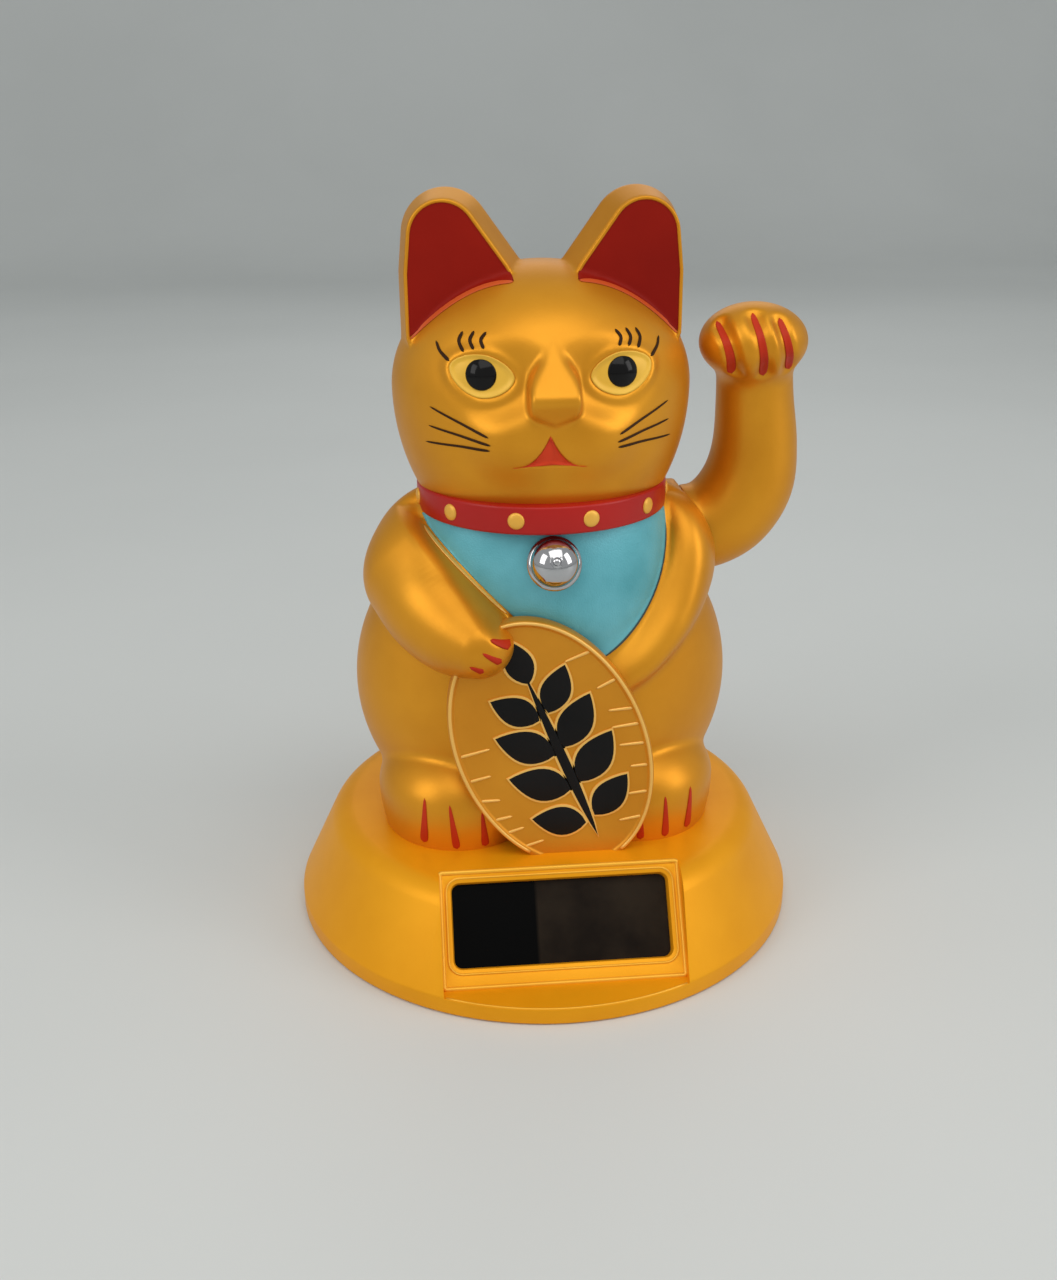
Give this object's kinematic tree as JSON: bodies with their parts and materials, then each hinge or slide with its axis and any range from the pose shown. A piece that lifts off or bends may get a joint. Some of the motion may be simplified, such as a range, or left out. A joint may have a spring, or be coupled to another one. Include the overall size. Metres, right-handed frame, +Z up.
{
  "type": "beckoning cat figurine",
  "caption": "Hollow gold beckoning cat on a flared base with a solar window; a pendulum inside swings its raised arm on a steel pin.",
  "frame": {"origin": "middle of the base on the surface that the part stands on", "axes": "+Z up, -Y the way the cat faces, +X towards the cat's waving left arm"},
  "size_m": [0.09, 0.09, 0.125],
  "materials": {
    "cat_gold": "satin metallic gold paint on moulded plastic",
    "coin_gold": "satin metallic gold paint",
    "bell_chrome": "mirror plated",
    "base_yellow": "satin moulded plastic",
    "cover_yellow": "moulded plastic",
    "steel": "zinc plated",
    "pad_rubber": "matt",
    "cell_glass": "polished dark glass over a solar cell",
    "white_plastic": "moulded",
    "board_green": "solder resist",
    "black_resin": "cast resin",
    "capacitor_sleeve": "shrunk sleeve",
    "copper_wire": "enamelled copper",
    "red_sleeve": "wire insulation",
    "magnet_iron": "ferrite grey"
  },
  "bodies": {
    "figurine": {"front_shell": "cat_gold", "rear_shell": "cat_gold", "koban_coin": "coin_gold", "collar_bell": "bell_chrome", "base_shell": "base_yellow", "base_cover": "cover_yellow", "cover_screws": "steel", "foot_pads": "pad_rubber", "body_screws": "steel", "solar_cell": "cell_glass", "cell_retainer": "white_plastic", "retainer_screws": "steel", "circuit_board": "board_green", "driver_chip": "black_resin", "storage_capacitor": "capacitor_sleeve", "board_screws": "steel", "coil_bobbin": "white_plastic", "drive_coil": "copper_wire", "left_bearing_post": "white_plastic", "right_bearing_post": "white_plastic", "post_screws": "steel", "solar_leads": "red_sleeve", "coil_leads": "copper_wire"},
    "swing": {"pivot_pin": "steel", "pendulum_lever": "white_plastic", "drive_magnet": "magnet_iron", "arm_hub": "white_plastic", "arm_front_shell": "cat_gold", "arm_rear_shell": "cat_gold"}
  },
  "joints": [
    {"name": "arm_wave", "type": "hinge", "parent": "figurine", "child": "swing", "pos_m": [0, 0.003, 0.068], "axis": [1, 0, 0], "range_deg": [-15, 15]}
  ]
}
